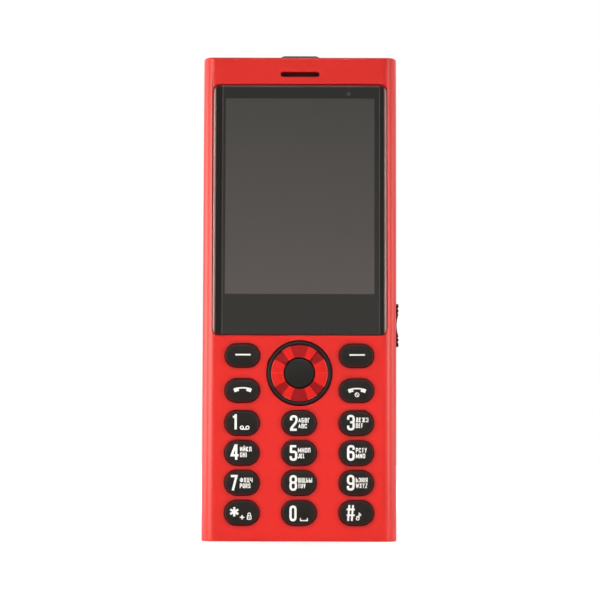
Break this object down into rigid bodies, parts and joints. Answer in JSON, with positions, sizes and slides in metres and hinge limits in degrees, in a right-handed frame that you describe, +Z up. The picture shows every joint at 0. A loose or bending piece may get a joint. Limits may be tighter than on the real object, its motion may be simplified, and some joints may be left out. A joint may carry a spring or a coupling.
{
  "type": "feature phone",
  "caption": "Slim keypad phone with a large display window, oval keys, a faceted round navigation key, a side rocker, a torch on the top end and a lift-off battery cover.",
  "frame": {"origin": "centre of the bottom end face, where the phone stands", "axes": "+Z up along the phone's length, -Y out of the front (keypad) face, +X to the right seen from the front"},
  "size_m": [0.0566, 0.0158, 0.1407],
  "materials": {
    "shell_red": "satin moulded plastic",
    "window_black": "printed clear window, glossy",
    "key_black": "satin key caps with white legends",
    "rim_black": "glossy black",
    "facet_red": "metallic red lacquer",
    "chassis_black": "fine matt texture",
    "rubber_dark": "silicone",
    "lcd_glass": "display glass",
    "sheet_metal": "stamped sheet",
    "gilt": "plated spring metal",
    "flex_film": "polyimide film",
    "board_green": "solder mask",
    "cell_grey": "wrapped cell",
    "led_yellow": "phosphor",
    "torch_smoke": "smoked clear plastic",
    "camera_glass": "dark clear plastic"
  },
  "bodies": {
    "phone": {"front_cover": "shell_red", "display_window": "window_black", "window_gasket": "rubber_dark", "lcd_panel": "lcd_glass", "lcd_tray": "sheet_metal", "lcd_flex": "flex_film", "earpiece_mesh": "chassis_black", "earpiece": "sheet_metal", "keypad_mat": "rubber_dark", "key_domes": "sheet_metal", "volume_switches": "sheet_metal", "volume_flex": "flex_film", "main_board": "board_green", "shield_cans": "sheet_metal", "sim_holders": "sheet_metal", "card_holder": "sheet_metal", "battery_connector": "chassis_black", "battery_contacts": "gilt", "vibration_motor": "sheet_metal", "camera_module": "chassis_black", "camera_window": "camera_glass", "loudspeaker": "chassis_black", "speaker_gasket": "rubber_dark", "microphone": "sheet_metal", "usb_socket": "sheet_metal", "headset_socket": "chassis_black", "torch_led": "led_yellow", "torch_lens": "torch_smoke", "antenna": "gilt", "rear_housing": "chassis_black", "housing_screws": "sheet_metal", "battery": "cell_grey"},
    "key_star_body": {"key_star": "key_black"},
    "key_0_body": {"key_0": "key_black"},
    "key_hash_body": {"key_hash": "key_black"},
    "key_7_body": {"key_7": "key_black"},
    "key_8_body": {"key_8": "key_black"},
    "key_9_body": {"key_9": "key_black"},
    "key_4_body": {"key_4": "key_black"},
    "key_5_body": {"key_5": "key_black"},
    "key_6_body": {"key_6": "key_black"},
    "key_1_body": {"key_1": "key_black"},
    "key_2_body": {"key_2": "key_black"},
    "key_3_body": {"key_3": "key_black"},
    "call_key_body": {"call_key": "key_black"},
    "end_key_body": {"end_key": "key_black"},
    "soft_key_left_body": {"soft_key_left": "key_black"},
    "soft_key_right_body": {"soft_key_right": "key_black"},
    "ok_key_body": {"ok_key": "key_black"},
    "nav_pad_body": {"nav_pad": "rubber_dark"},
    "nav_ring_body": {"nav_rim": "rim_black", "nav_facets": "facet_red"},
    "rocker_body": {"volume_rocker": "rim_black"},
    "cover_body": {"battery_cover": "shell_red"}
  },
  "joints": [
    {"name": "key_star_press", "type": "slide", "parent": "phone", "child": "key_star_body", "axis": [0, 1, 0], "range_m": [0, 0.0003], "stiffness_N_per_m": 3000, "springref_m": -0.0001},
    {"name": "key_0_press", "type": "slide", "parent": "phone", "child": "key_0_body", "axis": [0, 1, 0], "range_m": [0, 0.0003], "stiffness_N_per_m": 3000, "springref_m": -0.0001},
    {"name": "key_hash_press", "type": "slide", "parent": "phone", "child": "key_hash_body", "axis": [0, 1, 0], "range_m": [0, 0.0003], "stiffness_N_per_m": 3000, "springref_m": -0.0001},
    {"name": "key_7_press", "type": "slide", "parent": "phone", "child": "key_7_body", "axis": [0, 1, 0], "range_m": [0, 0.0003], "stiffness_N_per_m": 3000, "springref_m": -0.0001},
    {"name": "key_8_press", "type": "slide", "parent": "phone", "child": "key_8_body", "axis": [0, 1, 0], "range_m": [0, 0.0003], "stiffness_N_per_m": 3000, "springref_m": -0.0001},
    {"name": "key_9_press", "type": "slide", "parent": "phone", "child": "key_9_body", "axis": [0, 1, 0], "range_m": [0, 0.0003], "stiffness_N_per_m": 3000, "springref_m": -0.0001},
    {"name": "key_4_press", "type": "slide", "parent": "phone", "child": "key_4_body", "axis": [0, 1, 0], "range_m": [0, 0.0003], "stiffness_N_per_m": 3000, "springref_m": -0.0001},
    {"name": "key_5_press", "type": "slide", "parent": "phone", "child": "key_5_body", "axis": [0, 1, 0], "range_m": [0, 0.0003], "stiffness_N_per_m": 3000, "springref_m": -0.0001},
    {"name": "key_6_press", "type": "slide", "parent": "phone", "child": "key_6_body", "axis": [0, 1, 0], "range_m": [0, 0.0003], "stiffness_N_per_m": 3000, "springref_m": -0.0001},
    {"name": "key_1_press", "type": "slide", "parent": "phone", "child": "key_1_body", "axis": [0, 1, 0], "range_m": [0, 0.0003], "stiffness_N_per_m": 3000, "springref_m": -0.0001},
    {"name": "key_2_press", "type": "slide", "parent": "phone", "child": "key_2_body", "axis": [0, 1, 0], "range_m": [0, 0.0003], "stiffness_N_per_m": 3000, "springref_m": -0.0001},
    {"name": "key_3_press", "type": "slide", "parent": "phone", "child": "key_3_body", "axis": [0, 1, 0], "range_m": [0, 0.0003], "stiffness_N_per_m": 3000, "springref_m": -0.0001},
    {"name": "call_key_press", "type": "slide", "parent": "phone", "child": "call_key_body", "axis": [0, 1, 0], "range_m": [0, 0.0003], "stiffness_N_per_m": 3000, "springref_m": -0.0001},
    {"name": "end_key_press", "type": "slide", "parent": "phone", "child": "end_key_body", "axis": [0, 1, 0], "range_m": [0, 0.0003], "stiffness_N_per_m": 3000, "springref_m": -0.0001},
    {"name": "soft_key_left_press", "type": "slide", "parent": "phone", "child": "soft_key_left_body", "axis": [0, 1, 0], "range_m": [0, 0.0003], "stiffness_N_per_m": 3000, "springref_m": -0.0001},
    {"name": "soft_key_right_press", "type": "slide", "parent": "phone", "child": "soft_key_right_body", "axis": [0, 1, 0], "range_m": [0, 0.0003], "stiffness_N_per_m": 3000, "springref_m": -0.0001},
    {"name": "ok_key_press", "type": "slide", "parent": "phone", "child": "ok_key_body", "axis": [0, 1, 0], "range_m": [0, 0.0003], "stiffness_N_per_m": 3000, "springref_m": -0.0001},
    {"name": "nav_rock_vertical", "type": "hinge", "parent": "phone", "child": "nav_pad_body", "pos_m": [0, -0.00474, 0.04804], "axis": [1, 0, 0], "range_deg": [-2, 2], "stiffness_Nm_per_rad": 0.3},
    {"name": "nav_rock_sideways", "type": "hinge", "parent": "nav_pad_body", "child": "nav_ring_body", "pos_m": [0, -0.00474, 0.04804], "axis": [0, 0, 1], "range_deg": [-2, 2], "stiffness_Nm_per_rad": 0.3},
    {"name": "volume_rock", "type": "hinge", "parent": "phone", "child": "rocker_body", "pos_m": [0.02614, -0.00225, 0.06204], "axis": [0, 1, 0], "range_deg": [-2, 2], "stiffness_Nm_per_rad": 0.15},
    {"name": "cover_lift", "type": "slide", "parent": "phone", "child": "cover_body", "axis": [0, 1, 0], "range_m": [0, 0.018]}
  ]
}
